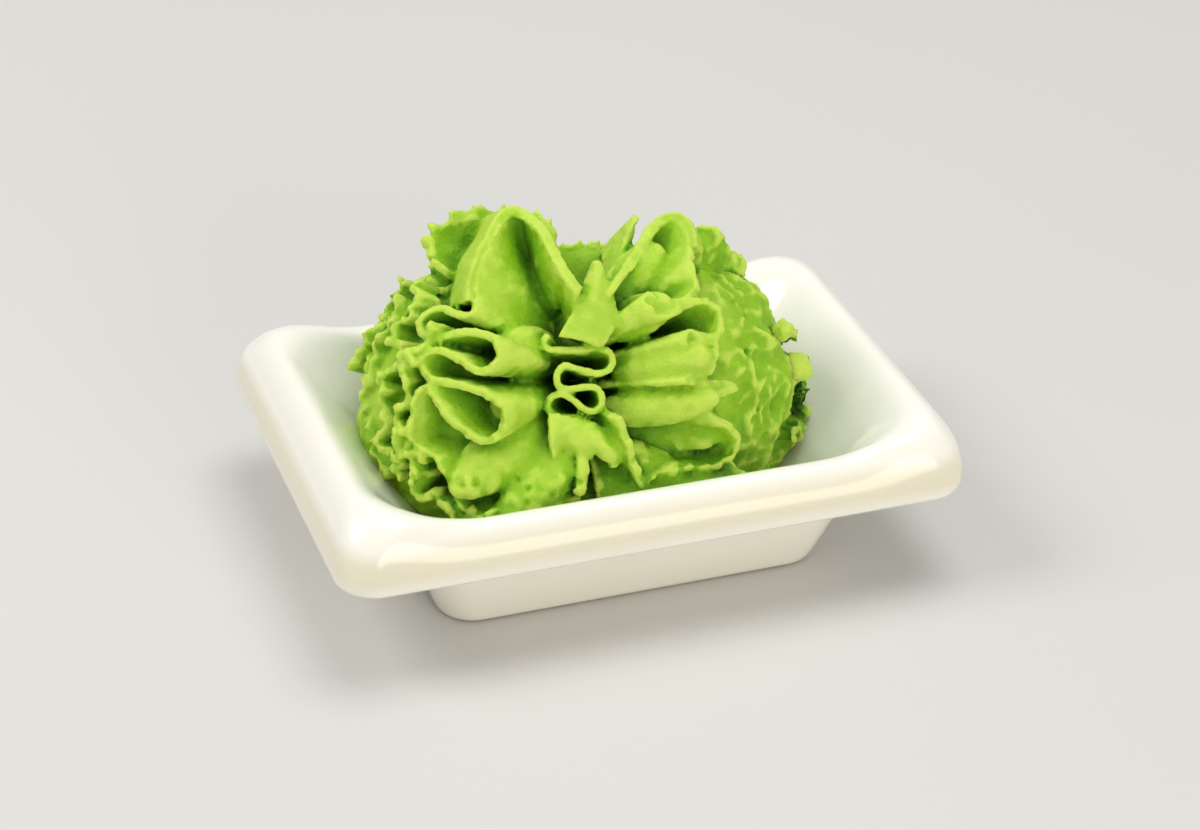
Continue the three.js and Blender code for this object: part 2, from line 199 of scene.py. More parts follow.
# Plump pleats between rim and core: outer end, inner end, half width, half depth.
PLEATS = (
    ((-17.6, -9.8, 36.8), (-10.0, -6.6, 33.4), 3.1, 2.7),
    ((-19.0, -12.6, 29.6), (-10.2, -8.6, 26.2), 3.9, 3.0),
    ((-25.8, -16.8, 20.4), (-11.6, -12.0, 27.0), 4.0, 2.9),
    ((3.9, -12.4, 41.6), (-2.8, -9.0, 36.5), 2.8, 2.2),
    ((8.2, -16.6, 35.4), (-2.0, -11.0, 31.7), 3.4, 3.0),
    ((8.9, -18.8, 29.9), (-4.2, -13.2, 26.7), 2.9, 2.7),
    ((6.4, -2.8, 43.9), (-1.8, -7.5, 40.0), 3.2, 2.0),
    ((10.5, -17.6, 23.1), (-2.7, -12.0, 22.9), 3.0, 1.8),
    ((-20.4, -20.8, 16.2), (-8.2, -14.8, 25.8), 3.9, 2.7),
    ((6.0, -21.0, 16.6), (-5.1, -15.0, 22.4), 3.2, 2.4),
)
# Crumbs that stick to the right side: place and size.
CRUMBS = (
    ((27.4, -3.0, 27.8), 1.5), ((28.2, -2.4, 26.8), 1.2), ((26.4, -2.6, 28.6), 1.1),
    ((29.7, -3.0, 20.4), 1.5), ((29.4, -4.4, 18.4), 1.5), ((30.2, -2.2, 19.0), 1.2),
    ((29.2, -5.0, 15.4), 1.6), ((27.4, -7.6, 14.8), 1.7), ((28.8, 3.4, 22.4), 1.6),
    ((25.4, -9.6, 15.4), 1.6), ((24.8, -6.2, 30.6), 1.1), ((27.6, -5.6, 23.4), 1.4),
)
MOUND = Vector((-2.0, 0.0, 15.0))       # the middle that the folds stand round
FRONT = Vector((-0.33, -0.78, 0.54))    # the way the front folds swell
REAR = Vector((-0.1, 0.84, 0.54))       # the way the far folds swell
VALLEY = Vector((-11.8, 4.5, 48.8))     # where the tallest lobe dips in
CORE_LIFT = 0.55            # how much of a rim's height its root takes
RIM_STEP, RIBBON_STEP = 0.45, 0.5       # spacing of points along rims and ribbon spines
FOLD_STEPS, FLAP_STEPS = 18, 14         # points from the root to the rim
NEIGHBOURS, RIDGE_FULL = 18, 2.2        # rim points compared, and the difference of a full ridge
# The paste is free above the crest, and below it keeps a gap to the level basin outline.
CREST_TOP, GLAZE_GAP, UNDERSIDE = 22.5, 0.35, 7.5
MOST_TRIANGLES = 190000     # in the mesh of the paste
SIGHT = 11 * MM             # how far openness looks
RAYS, GOLDEN = 26, 2.4      # directions it looks in, and the turn from one to the next


def smoothstep(t):
    """Eases 0 to 1 with flat ends."""
    t = min(1.0, max(0.0, t))
    return t * t * (3.0 - 2.0 * t)


def band(value, start, width):
    """0 before start and 1 from start + width on; a negative width runs backwards."""
    return smoothstep((value - start) / width)


def deselect():
    """Leaves object mode with nothing selected."""
    if bpy.context.object and bpy.context.object.mode != "OBJECT":
        bpy.ops.object.mode_set(mode="OBJECT")
    bpy.ops.object.select_all(action="DESELECT")


def activate(obj):
    """Makes obj the one selected, active object."""
    deselect()
    obj.select_set(True)
    bpy.context.view_layer.objects.active = obj
    return obj


def modify(obj, kind, **settings):
    """Adds a modifier and applies it at once."""
    activate(obj)
    mod = obj.modifiers.new(kind.title(), kind)
    for key, value in settings.items():
        setattr(mod, key, value)
    bpy.ops.object.modifier_apply(modifier=mod.name)


# ---------------------------------------------------------------- shader nodes
class Sock:
    """A shader socket with the arithmetic that the materials use."""

    def __init__(self, tree, out):
        self.tree, self.out = tree, out

    def _math(self, op, a, b):
        return self.tree.node("ShaderNodeMath", {"operation": op}, {0: a, 1: b})

    def __add__(self, o):
        return self._math("ADD", self, o)

    def __radd__(self, o):
        return self._math("ADD", o, self)

    def __sub__(self, o):
        return self._math("SUBTRACT", self, o)

    def __rsub__(self, o):
        return self._math("SUBTRACT", o, self)

    def __mul__(self, o):
        return self._math("MULTIPLY", self, o)

    def __rmul__(self, o):
        return self._math("MULTIPLY", o, self)


class Finish:
    """A new node material with a Principled shader."""

    def __init__(self, name, **constants):
        self.material = bpy.data.materials.new(name)
        self.material.use_nodes = True
        self.nodes = self.material.node_tree.nodes
        self.links = self.material.node_tree.links
        self.shader = self.nodes["Principled BSDF"]
        for key, value in constants.items():
            self.shader.inputs[key.replace("_", " ")].default_value = value

    def node(self, kind, settings=None, inputs=None, out=0):
        """Adds any node: its settings first, then values or links on its sockets."""
        made = self.nodes.new(kind)
        for key, value in (settings or {}).items():
            if key == "stops":
                ramp = made.color_ramp
                while len(ramp.elements) < len(value):
                    ramp.elements.new(0.5)
                for element, (place, colour) in zip(ramp.elements, value):
                    element.position, element.color = place, (*colour, 1.0)
            else:
                setattr(made, key, value)
        for key, value in (inputs or {}).items():
            if isinstance(value, Sock):
                self.links.new(value.out, made.inputs[key])
            else:
                made.inputs[key].default_value = value
        return Sock(self, made.outputs[out])

    def place(self):
        """Object coordinates."""
        return self.node("ShaderNodeTexCoord", out="Object")

    def noise(self, scale, detail, rough=0.5):
        """Fractal noise, from 0 to 1."""
        return self.node(
            "ShaderNodeTexNoise", None,
            {"Vector": self.place(), "Scale": scale, "Detail": detail,
             "Roughness": rough}, out="Fac")

    def ramp(self, fac, *stops):
        """A colour ramp."""
        return self.node("ShaderNodeValToRGB", {"stops": stops}, {"Fac": fac}, out="Color")

    def between(self, fac, low, high):
        """fac stretched so that low gives 0 and high gives 1, clamped."""
        return self.node(
            "ShaderNodeMapRange", {"clamp": True},
            {"Value": fac, "From Min": low, "From Max": high}, out="Result")

    def blend(self, fac, a, b):
        """Mixes colour b into colour a; both are sockets or plain colours."""
        a = a if isinstance(a, Sock) else (*a, 1.0)
        b = b if isinstance(b, Sock) else (*b, 1.0)
        return self.node("ShaderNodeMix", {"data_type": "RGBA"}, {0: fac, 6: a, 7: b}, out=2)

    def attribute(self, name):
        """A value stored on the mesh."""
        return self.node("ShaderNodeAttribute", {"attribute_name": name}, out="Fac")

    def bump(self, height, strength, distance):
        """Small relief into the shader's normal."""
        made = self.node(
            "ShaderNodeBump", None,
            {"Height": height, "Strength": strength, "Distance": distance}, out="Normal")
        self.feed("Normal", made)

    def feed(self, socket, value):
        """Links a value that changes over the surface to the shader."""
        self.links.new(value.out, self.shader.inputs[socket])


def glaze_finish(props):
    """Glossy warm white glaze with painted shade in cream outside and low down, painted light as a
    brighter white on the upper basin walls, and bare clay under the foot.
    """
    fin = Finish("warm_white_glaze", Coat_Weight=0.35, Coat_Roughness=0.14, IOR=1.5)
    soft = fin.noise(28.0, 2.0)
    speck = fin.noise(420.0, 2.0)
    colour = fin.ramp(
        fin.between(soft, 0.35, 0.65),
        (0.0, [c * 0.975 for c in props.glaze_colour]), (1.0, props.glaze_colour))
    height = fin.node("ShaderNodeSeparateXYZ", None, {0: fin.place()}, out="Z")
    bare = 1.0 - fin.between(height + (soft - 0.5) * 0.0006, 0.0002, 0.0006)
    clay = fin.ramp(speck, (0.3, (0.55, 0.47, 0.36)), (0.7, (0.68, 0.6, 0.49)))
    outer = fin.attribute("outer_side")
    # painted shade: darker cream on the outer face from the lip up to just below the crest, and weaker
    # cream low down on the body, foot and basin floor
    lip = fin.between(height, 0.0145, 0.0165) * (1.0 - fin.between(height, 0.0188, 0.0206))
    painted_cream_shade = outer * (lip + 0.35 * (1.0 - fin.between(height, 0.012, 0.0145)))
    # painted light: the upper basin walls are lifted to a brighter white
    colour = fin.blend(0.7 * (1.0 - outer), colour, (0.96, 0.95, 0.9))
    colour = fin.blend(painted_cream_shade, colour, props.cream_shade_colour)
    fin.feed("Base Color", fin.blend(bare, colour, clay))
    fin.feed("Roughness", fin.between(bare + soft * 0.3, 0.0, 1.4) * 0.6 + 0.1)
    fin.bump(soft + speck * 0.02, 0.35, 0.0003)
    return fin.material


def paste_finish(props):
    """Moist fine-grained paste with painted light and shade: a painted highlight pale at thin rims,
    painted shade deep green down in the folds.
    """
    fin = Finish(
        "wasabi_paste", Subsurface_Weight=0.55, Subsurface_Radius=(0.55, 1.0, 0.16),
        Subsurface_Scale=0.0011, Specular_IOR_Level=0.32, Coat_Weight=0.06,
        Coat_Roughness=0.35)
    openness, bulge = fin.attribute("openness"), fin.attribute("bulge")
    mottle = fin.noise(260.0, 4.0, 0.6)
    patch = fin.noise(70.0, 2.0)
    shade = fin.between(openness + (mottle - 0.5) * 0.16 + (patch - 0.5) * 0.2, 0.18, 0.98)
    # painted shade: the ramp runs from deep green shade in closed folds to the open faces, and past them
    # to painted light where most open
    colour = fin.ramp(
        shade, (0.0, props.deep_shade_colour), (0.36, props.half_shade_colour), (0.8, props.face_colour),
        (1.0, [0.5 * (f + r) for f, r in zip(props.face_colour, props.rim_highlight_and_fleck_colour)]))
    # painted highlight: thin convex rims blend to the pale rim colour
    colour = fin.blend(fin.between(bulge, 0.45, 1.0), colour, props.rim_highlight_and_fleck_colour)
    grain = fin.noise(2000.0, 4.0, 0.75)
    fin.feed("Base Color", fin.blend(fin.between(grain, 0.4, 0.75) * 0.14, colour,
                                     props.rim_highlight_and_fleck_colour))
    fin.feed("Roughness", fin.between(mottle, 0.3, 0.7) * 0.18 + 0.4)
    fin.bump(grain * 0.8 + mottle, 0.85, 0.0005)
    return fin.material


# ---------------------------------------------------------------- dish
def rounded_outline(a, b, r):
    """A rounded rectangle, counter-clockwise from the middle of the +X side."""
    long_n, corner_n, short_n = 14, 12, 8
    quarter = [(a, (b - r) * i / short_n) for i in range(short_n)]
    for i in range(corner_n):
        t = math.pi / 2 * i / corner_n
        quarter.append((a - r + r * math.cos(t), b - r + r * math.sin(t)))
    quarter += [((a - r) * (1 - i / long_n), b) for i in range(long_n)]
    left = [(-x, y) for x, y in quarter]
    mirror = [(0.0, b)] + left[:0:-1]
    return (quarter + mirror
            + [(x, -y) for x, y in left] + [(0.0, -b)]
            + [(x, -y) for x, y in quarter[:0:-1]])


def make_dish(props):
    """Lofts the dish by extruding one outline through its levels."""
    half_l, half_w = props.length / 2, props.width / 2

    def level(row):
        in_l, in_w, r, z, share = row
        a, b = half_l - in_l * MM, half_w - in_w * MM
        pts = []
        for x, y in rounded_outline(a, b, r * MM):
            rise = band(abs(x) / a, RISE_FROM, 1 - RISE_FROM)
            pts.append(Vector((x, y, z * MM + props.rim_lift * share * rise)))
        return pts

    def outer_side(co):
        """1 outside the crest and low down, 0 on the upper walls of the basin: the mask of the glaze's
        painted shade and painted light.
        """
        if co.z <= OUTER_MASK_TOP * MM:
            return 1.0
        past = max(abs(co.x) / (half_l - CREST_IN_L * MM), abs(co.y) / (half_w - CREST_IN_W * MM))
        return smoothstep(CREST_SHARPNESS * (past - 1.0) + 0.5)

    levels = [level(row) for row in DISH_ROWS]
    deselect()
    # The circle only gives the ring its points, which move to the first level at once.
    bpy.ops.mesh.primitive_circle_add(vertices=len(levels[0]), radius=0.02, fill_type="NGON")
    dish = bpy.context.object
    dish.name = dish.data.name = "sauce_dish"
    bpy.ops.object.mode_set(mode="EDIT")
    bm = bmesh.from_edit_mesh(dish.data)
    bm.verts.ensure_lookup_table()
    ring = sorted(bm.verts, key=lambda v: math.atan2(v.co.y, v.co.x) % math.tau)
    for v, co in zip(ring, levels[0]):
        v.co = co
    base = bm.faces[:]
    for row in levels[1:]:
        made = bmesh.ops.extrude_edge_only(
            bm, edges=[bm.edges.get((ring[i - 1], ring[i])) for i in range(len(ring))])
        fresh = {v for v in made["geom"] if isinstance(v, bmesh.types.BMVert)}
        ring = [next(e.other_vert(v) for e in v.link_edges if e.other_vert(v) in fresh)
                for v in ring]
        for v, co in zip(ring, row):
            v.co = co
    floor = bm.faces.new(ring)
    for flat in (*base, floor):
        bmesh.ops.poke(bm, faces=[flat])
    bmesh.ops.recalc_face_normals(bm, faces=bm.faces)
    bmesh.update_edit_mesh(dish.data)
    bpy.ops.object.mode_set(mode="OBJECT")
    modify(dish, "SUBSURF", levels=1, render_levels=1)
    bpy.ops.object.shade_smooth()
    # mask for the painted shade outside and the painted light on the upper basin walls
    sides = [outer_side(v.co) for v in dish.data.vertices]
    dish.data.attributes.new("outer_side", "FLOAT", "POINT").data.foreach_set("value", sides)
    dish.data.materials.append(glaze_finish(props))
    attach(dish, "root")
    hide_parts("dish")
    return dish


# ---------------------------------------------------------------- paste
def spline(points, step):
    """A smooth curve through the points, sampled about every step."""
    pts = [Vector(p) for p in points]
    ends = [2 * pts[0] - pts[1]] + pts + [2 * pts[-1] - pts[-2]]
    out = []
    for p0, p1, p2, p3 in zip(ends, ends[1:], ends[2:], ends[3:]):
        n = max(1, round((p2 - p1).length / step))
        for i in range(n):
            t = i / n
            out.append(0.5 * (2 * p1 + (p2 - p0) * t + (2 * p0 - 5 * p1 + 4 * p2 - p3) * t * t
                              + (3 * p1 - p0 - 3 * p2 + p3) * t * t * t))
    out.append(pts[-1])
    return out


def ragged(point, seed):
    """How torn an edge is at a point, from -1 to 1."""
    p = point * 0.75 + Vector((seed * 7.3, 0.0, 0.0))
    return 1.1 * noise.noise(p) + 0.7 * noise.noise(p * 2.6)


def add_mesh(name, verts, faces):
    """A mesh object from points in millimetres."""
    mesh = bpy.data.meshes.new(name)
    mesh.from_pydata([v * MM for v in verts], [], faces)
    obj = bpy.data.objects.new(name, mesh)
    bpy.context.scene.collection.objects.link(obj)
    return obj


def grid_faces(rows, columns):
    """Quads of a net of rows by columns."""
    return [(i * columns + k, i * columns + k + 1, (i + 1) * columns + k + 1,
             (i + 1) * columns + k) for i in range(rows - 1) for k in range(columns - 1)]


def ridge_shares(line, roots):
    """1 where a rim turns in to the core and heads a ridge, -1 where it heads a crease."""
    far = [(p - r).length for p, r in zip(line, roots)]
    shares = []
    for i in range(len(far)):
        near_by = far[max(0, i - NEIGHBOURS):i + NEIGHBOURS + 1]
        share = max(-1.0, min(1.0, (sum(near_by) / len(near_by) - far[i]) / RIDGE_FULL))
        shares.append(share - 1.4 * smoothstep(1.2 - (line[i] - VALLEY).length / 8.0))
    return shares


def fold(name, rim, core, thick, bow, near=0.25, torn=0.0, seed=1, face=FRONT):
    """A ruffle from a rim in to the core line, plump between creases and torn at its rim."""
    line = spline(rim, RIM_STEP)
    roots = [Vector((*core, MOUND.z + CORE_LIFT * (p.z - MOUND.z))) for p in line]
    verts = []
    for point, root, share in zip(line, roots, ridge_shares(line, roots)):
        along = (point - root).normalized()
        lift = (face - along * face.dot(along)).normalized()
        reach = 1.0 + torn * ragged(point, seed) * 0.06
        for k in range(FOLD_STEPS):
            t = near + (reach - near) * k / (FOLD_STEPS - 1)
            push = bow * (0.4 + 0.8 * share) * math.sin(math.pi * min(1.0, t)) ** 0.7
            wobble = 0.4 * noise.noise(point * 0.3 + Vector((t * 4, seed, 0)))
            verts.append(root + (point - root) * t + lift * (push + wobble))
    obj = add_mesh(name, verts, grid_faces(len(line), FOLD_STEPS))
    modify(obj, "SOLIDIFY", thickness=thick * MM, offset=0.0)
    return obj


def flap(name, edge_a, edge_b, thick, bow, torn=0.0, seed=1):
    """A loose leaf between two edges; the second edge is the torn one."""
    side_a, side_b = spline(edge_a, RIM_STEP), spline(edge_b, RIM_STEP)
    count = max(len(side_a), len(side_b))

    def pick(side, i):
        """The point of a side at i of count even steps."""
        f = i * (len(side) - 1) / (count - 1)
        k = min(int(f), len(side) - 2)
        return side[k].lerp(side[k + 1], f - k)

    verts = []
    for i in range(count):
        a, b = pick(side_a, i), pick(side_b, i)
        out = ((a + b) / 2 - MOUND).normalized()
        reach = 1.0 + torn * ragged(b, seed) * 0.25
        for k in range(FLAP_STEPS):
            t = reach * k / (FLAP_STEPS - 1)
            spot = a.lerp(b, t)
            wave = 0.9 * noise.noise(spot * 0.22 + Vector((seed, 0, 0))) * min(1.0, 2 * t)
            verts.append(spot + out * (bow * math.sin(math.pi * min(1.0, t)) + wave))
    obj = add_mesh(name, verts, grid_faces(count, FLAP_STEPS))
    modify(obj, "SOLIDIFY", thickness=thick * MM, offset=0.0)
    return obj


def lump(centre, radii):
    """A round mass of paste, given in millimetres."""
    deselect()
    bpy.ops.mesh.primitive_ico_sphere_add(subdivisions=5, radius=1.0)
    obj = bpy.context.object
    obj.data.transform(Matrix.Translation(Vector(centre) * MM)
                       @ Matrix.Diagonal((*(Vector(radii) * MM), 1.0)))
    return obj


def crumb(place, size, k):
    """A small broken chunk of paste, each turned its own way."""
    deselect()
    bpy.ops.mesh.primitive_cube_add(size=1.5 * size * MM)
    obj = bpy.context.object
    obj.data.transform(Matrix.Translation(Vector(place) * MM)
                       @ Quaternion((0.6, 0.3 * k % 1 - 0.5, 1.0), 1.3 * k).to_matrix().to_4x4())
    return obj


def pleat(outer, inner, wide, deep):
    """A plump swelling of a pleat, laid between its outer and inner end."""
    outer, inner = Vector(outer), Vector(inner)
    along = (outer - inner).normalized()
    up = (FRONT - along * FRONT.dot(along)).normalized()
    turn = Matrix((along, up.cross(along), up)).transposed().to_4x4()
    obj = lump((0, 0, 0), ((outer - inner).length / 2 + 1.0, wide, deep))
    obj.data.transform(Matrix.Translation((outer + inner) / 2 * MM) @ turn)
    return obj


def far_side(rim, shift, drop):
    """The same fan turned to the far side and lowered by a share of its height."""
    return [(x + shift, 3.0 + 0.9 * abs(y), z - drop * (z - MOUND.z)) for x, y, z in rim]


def behind(rim, shift):
    """The lower edge of the back wall of a tall lobe."""
    return [(x + shift, y + 8.0, z - 9.5) for x, y, z in rim]


def ribbon_rim(spine, swing, seed):
    """A rim that wanders from side to side across a spine in uneven curls."""
    line = spline(spine, RIBBON_STEP)
    rim = []
    for i, point in enumerate(line):
        ahead = (line[min(i + 1, len(line) - 1)] - line[max(i - 1, 0)]).normalized()
        out = (point - MOUND).normalized()
        side = out.cross(ahead).normalized()
        spot = point * 0.42 + Vector((seed * 5.1, 0, 0))
        sway = 2.6 * noise.noise(spot) + 1.0 * noise.noise(spot * 2.3)
        slip = 1.8 * noise.noise(spot + Vector((0, 40, 0)))
        rim.append(point + swing * (side * sway + ahead * slip)
                   + out * 0.9 * noise.noise(spot * 1.3 + Vector((0, 0, 20))))
    return rim


def basin_limit(point):
    """Pulls a point of paste inside the basin's level outline at its height."""
    z = point.z / MM
    if z > CREST_TOP:
        return point
    low = BASIN_ROWS[0]
    for high in BASIN_ROWS[1:]:
        if high[3] >= z:
            break
        low = high
    t = min(1.0, max(0.0, (z - low[3]) / max(0.01, high[3] - low[3])))
    a = HALF_L - (low[0] + (high[0] - low[0]) * t) - GLAZE_GAP
    b = HALF_W - (low[1] + (high[1] - low[1]) * t) - GLAZE_GAP
    r = low[2] + (high[2] - low[2]) * t
    x, y = point.x / MM, point.y / MM
    qx, qy = max(abs(x) - (a - r), 0.0), max(abs(y) - (b - r), 0.0)
    far = math.hypot(qx, qy)
    if far > r:
        x = math.copysign(min(abs(x), a - r) + qx * r / far if qx else abs(x), x)
        y = math.copysign(min(abs(y), b - r) + qy * r / far if qy else abs(y), y)
    return Vector((x * MM, y * MM, max(point.z, UNDERSIDE * MM)))


def roughen(paste):
    """Lumps, grain and pits: strong on the torn outside, faint on the smooth front folds."""
    facing = [v.normal.copy() for v in paste.data.vertices]
    places = [v.co.copy() for v in paste.data.vertices]
    moved = []
    for place, normal in zip(places, facing):
        p = place / MM
        right = band(p.x, 11.0, 7.0) * band(p.y + 22.0 + p.x * 0.1, 0.0, 6.0)
        left = band(p.x, -24.0, -5.0)
        far = band(p.y, 4.0, 6.0)
        torn = max(right, 0.22 * left, 0.4 * far)
        push = 0.12 * noise.noise(p * 0.9) + 0.09 * noise.noise(p * 2.2)
        if torn > 0.02:
            push += torn * (1.5 * noise.noise(p * 0.19) - 1.2 * abs(noise.noise(p * 0.33))
                            + 0.35 * noise.noise(p * 0.8) + 0.12 * noise.noise(p * 1.9) + 0.25)
            near, cell = noise.voronoi(p * 0.27)
            pit = 0.17 + 0.12 * noise.noise(cell[0] * 3.1)
            if near[0] < pit:
                push -= torn * 1.1 * (1.0 - (near[0] / pit) ** 2)
        base = band(p.z, 25.0, -4.0) * (1.0 - right)
        if base > 0.02:
            near = noise.voronoi(p * 0.5)[0]
            push -= base * 0.55 * smoothstep(1.0 - near[0] / 0.3)
            push += base * (0.3 * noise.noise(p * 0.5) + 0.12 * noise.noise(p * 1.6))
        moved.extend(basin_limit(place + normal * push * MM))
    paste.data.vertices.foreach_set("co", moved)
    paste.data.update()


def even_rays():
    """Directions spread evenly over a ball, turned by the golden angle from one to the next."""
    rays = []
    for k in range(RAYS):
        h = (k + 0.5) / (RAYS / 2) - 1.0
        flat = math.sqrt(1 - h * h)
        rays.append(Vector((math.sin(k * GOLDEN) * flat, math.cos(k * GOLDEN) * flat, h)))
    return rays


def note_folds(paste):
    """Stores how open each point is, and how thin and convex, for the painted shade in the folds, the
    painted highlight on thin rims and the painted shade by place to follow.
    """
    mesh = paste.data
    count = len(mesh.vertices)
    places = [v.co.copy() for v in mesh.vertices]
    facing = [v.normal.copy() for v in mesh.vertices]
    tree = BVHTree.FromPolygons(places, [tuple(p.vertices) for p in mesh.polygons])
    rays = even_rays()
    openness = np.zeros(count)
    for i, (place, normal) in enumerate(zip(places, facing)):
        free = total = 0.0
        start = place + normal * 0.25 * MM
        for ray in rays:
            lean = ray.dot(normal)
            if lean > 0.15:
                total += lean
                hit = tree.ray_cast(start, ray, SIGHT)[3]
                free += lean * (1.0 if hit is None else 0.8 * hit / SIGHT)
        # painted shade: the right flank and the low front are darkened, the left flank lightened as
        # painted light
        right = band(place.x / MM, 13.0, 6.0)
        painted_shade_share = (0.25 * right - 0.2 * band(place.x / MM, -25.0, -4.0)
                + 0.34 * (1.0 - right) * band(place.z / MM, 25.0, -6.0))
        openness[i] = (free / total if total else 1.0) * (1.0 - painted_shade_share)
    edges = np.empty(len(mesh.edges) * 2, dtype=np.int64)
    mesh.edges.foreach_get("vertices", edges)
    a, b = edges[0::2], edges[1::2]
    points = np.array(places)
    links = np.bincount(a, minlength=count) + np.bincount(b, minlength=count)

    def around(values):
        """The mean of each point's neighbours."""
        return (np.bincount(a, values[b], count) + np.bincount(b, values[a], count)) / links

    middle = np.stack([around(points[:, k]) for k in range(3)], 1)
    bulge = ((points - middle) * np.array(facing)).sum(1) / MM
    for _ in range(4):
        bulge = 0.4 * bulge + 0.6 * around(bulge)
        openness = 0.6 * openness + 0.4 * around(openness)
    for name, values in (("openness", openness), ("bulge", np.clip(bulge * 18.0 + 0.3, 0, 1))):
        mesh.attributes.new(name, "FLOAT", "POINT").data.foreach_set(
            "value", values.astype(np.float32))


def make_paste(props):
    """Gathers masses, fans, zigzag and torn edges into one skin of paste."""
    thick = props.ruffle / MM
    core, far_core = (-5.5, -3.5), (-4.0, 5.0)
    pieces = [lump(*mass) for mass in MASSES]
    pieces += [crumb(place, size, k) for k, (place, size) in enumerate(CRUMBS)]
    pieces += [pleat(*swelling) for swelling in PLEATS]
    pieces += [
        fold("left_fan", LEFT_FAN, core, thick, bow=3.4, torn=0.3),
        fold("right_fan", RIGHT_FAN, core, thick, bow=3.2, torn=0.4, seed=2),
        flap("left_fan_back", LEFT_FAN[:12], behind(LEFT_FAN[:12], 0.0), thick * 1.4, 1.2),
        flap("right_fan_back", RIGHT_FAN[2:9], behind(RIGHT_FAN[2:9], 3.5), thick * 1.4, 1.2),
        fold("zigzag", ZIGZAG, core, thick * 0.8, near=0.2, bow=0.3),
        fold("back_lobe", BACK_LOBE, (-8.0, 2.0), thick, near=0.4, bow=1.0, torn=1.3, seed=5),
        fold("left_fan_far", far_side(LEFT_FAN, -1.0, 0.2), far_core, thick, bow=3.0, torn=0.8,
             seed=3, face=REAR),
        fold("right_fan_far", far_side(RIGHT_FAN, 3.0, 0.26), (0.0, 5.0), thick, bow=3.0,
             torn=0.8, seed=4, face=REAR),
    ]
    for k, (name, rooted, loose, bow, torn) in enumerate(LEAVES):
        pieces.append(flap(name, rooted, loose, thick, bow, torn, seed=10 + k))
    for k, (name, spine, swing, near) in enumerate(RIBBONS):
        rim = ribbon_rim(spine, swing, k + 1)
        pieces.append(fold(name, rim, core, thick, near=near, bow=0.4, torn=0.5, seed=20 + k))
    activate(pieces[0])
    for piece in pieces:
        piece.select_set(True)
    bpy.ops.object.join()
    paste = bpy.context.object
    paste.name = paste.data.name = "wasabi_mound"
    paste.data.remesh_voxel_size = props.skin_cell
    bpy.ops.object.voxel_remesh()
    modify(paste, "SMOOTH", factor=0.5, iterations=2)
    roughen(paste)
    modify(paste, "DECIMATE", ratio=min(1.0, MOST_TRIANGLES / (2 * len(paste.data.polygons))))
    bpy.ops.object.shade_smooth()
    note_folds(paste)
    paste.data.materials.append(paste_finish(props))
    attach(paste, "root")
    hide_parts("wasabi_paste")
    return paste


# ---------------------------------------------------------------- stage
def soft_light(name, place, aim, size, power, colour):
    """A large area light turned to aim."""
    data = bpy.data.lights.new(name, "AREA")
    data.shape, data.size, data.energy, data.color = "DISK", size, power, colour
    lamp = bpy.data.objects.new(name, data)
    lamp.location = place
    lamp.rotation_euler = (Vector(aim) - Vector(place)).to_track_quat("-Z", "Y").to_euler()
    bpy.context.scene.collection.objects.link(lamp)


def make_stage(props):
    """Pale floor, soft lights and the camera."""
    deselect()
    bpy.ops.mesh.primitive_plane_add(size=6.0)
    floor = bpy.context.object
    floor.name = "floor"
    fin = Finish("pale_floor", Roughness=0.7)
    grain = fin.noise(6.0, 2.0)
    fin.feed("Base Color", fin.ramp(grain, (0.0, (0.63, 0.625, 0.61)), (1.0, (0.67, 0.665, 0.65))))
    floor.data.materials.append(fin.material)
    bpy.context.scene.view_settings.view_transform = "Standard"
    world = bpy.data.worlds.new("soft_room")
    bpy.context.scene.world = world
    world.use_nodes = True
    background = world.node_tree.nodes["Background"].inputs
    background["Color"].default_value = (1.0, 0.99, 0.97, 1.0)
    background["Strength"].default_value = 0.52
    soft_light("key", (-0.55, 0.12, 0.6), (0, 0, 0.02), 0.4, 2.4, (1.0, 0.985, 0.95))
    soft_light("top", (0.12, 0.05, 0.8), (0.02, 0, 0.02), 0.5, 2.4, (1.0, 0.99, 0.96))
    soft_light("fill", (0.15, -0.8, 0.16), (0, 0, 0.02), 0.6, 3.0, (1.0, 0.94, 0.82))
    az, el = props.azimuth, props.elevation
    back = Vector((math.sin(az) * math.cos(el), -math.cos(az) * math.cos(el), math.sin(el)))
    data = bpy.data.cameras.new("view")
    data.lens, data.sensor_width, data.clip_start = props.lens, 36.0, 0.01
    camera = bpy.data.objects.new("view", data)
    camera.location = Vector(props.aim) + back * props.distance
    turn = back.to_track_quat("Z", "Y") @ Quaternion((0, 0, 1), props.roll)
    camera.rotation_euler = turn.to_euler()
    bpy.context.scene.collection.objects.link(camera)
    bpy.context.scene.camera = camera


# ---------------------------------------------------------------- add-on
class DishProps(bpy.types.PropertyGroup):
    """Sizes and colour of the dish."""

    length: bpy.props.FloatProperty(
        name="Length", description="Length over the flange", default=2 * HALF_L * MM,
        unit="LENGTH", subtype="DISTANCE")
    width: bpy.props.FloatProperty(
        name="Width", description="Width over the flange", default=2 * HALF_W * MM,
        unit="LENGTH", subtype="DISTANCE")
    rim_lift: bpy.props.FloatProperty(
        name="Rim lift", description="How much higher the crest stands at the ends",
        default=0.0027, unit="LENGTH", subtype="DISTANCE")
    glaze_colour: bpy.props.FloatVectorProperty(
        name="Glaze", description="Colour of the glaze", default=(0.88, 0.865, 0.79),
        subtype="COLOR")
    # painted shade: the darker cream that the glaze takes outside and low down
    cream_shade_colour: bpy.props.FloatVectorProperty(
        name="Cream", description="Colour where the glaze lies thick",
        default=(0.78, 0.735, 0.58), subtype="COLOR")


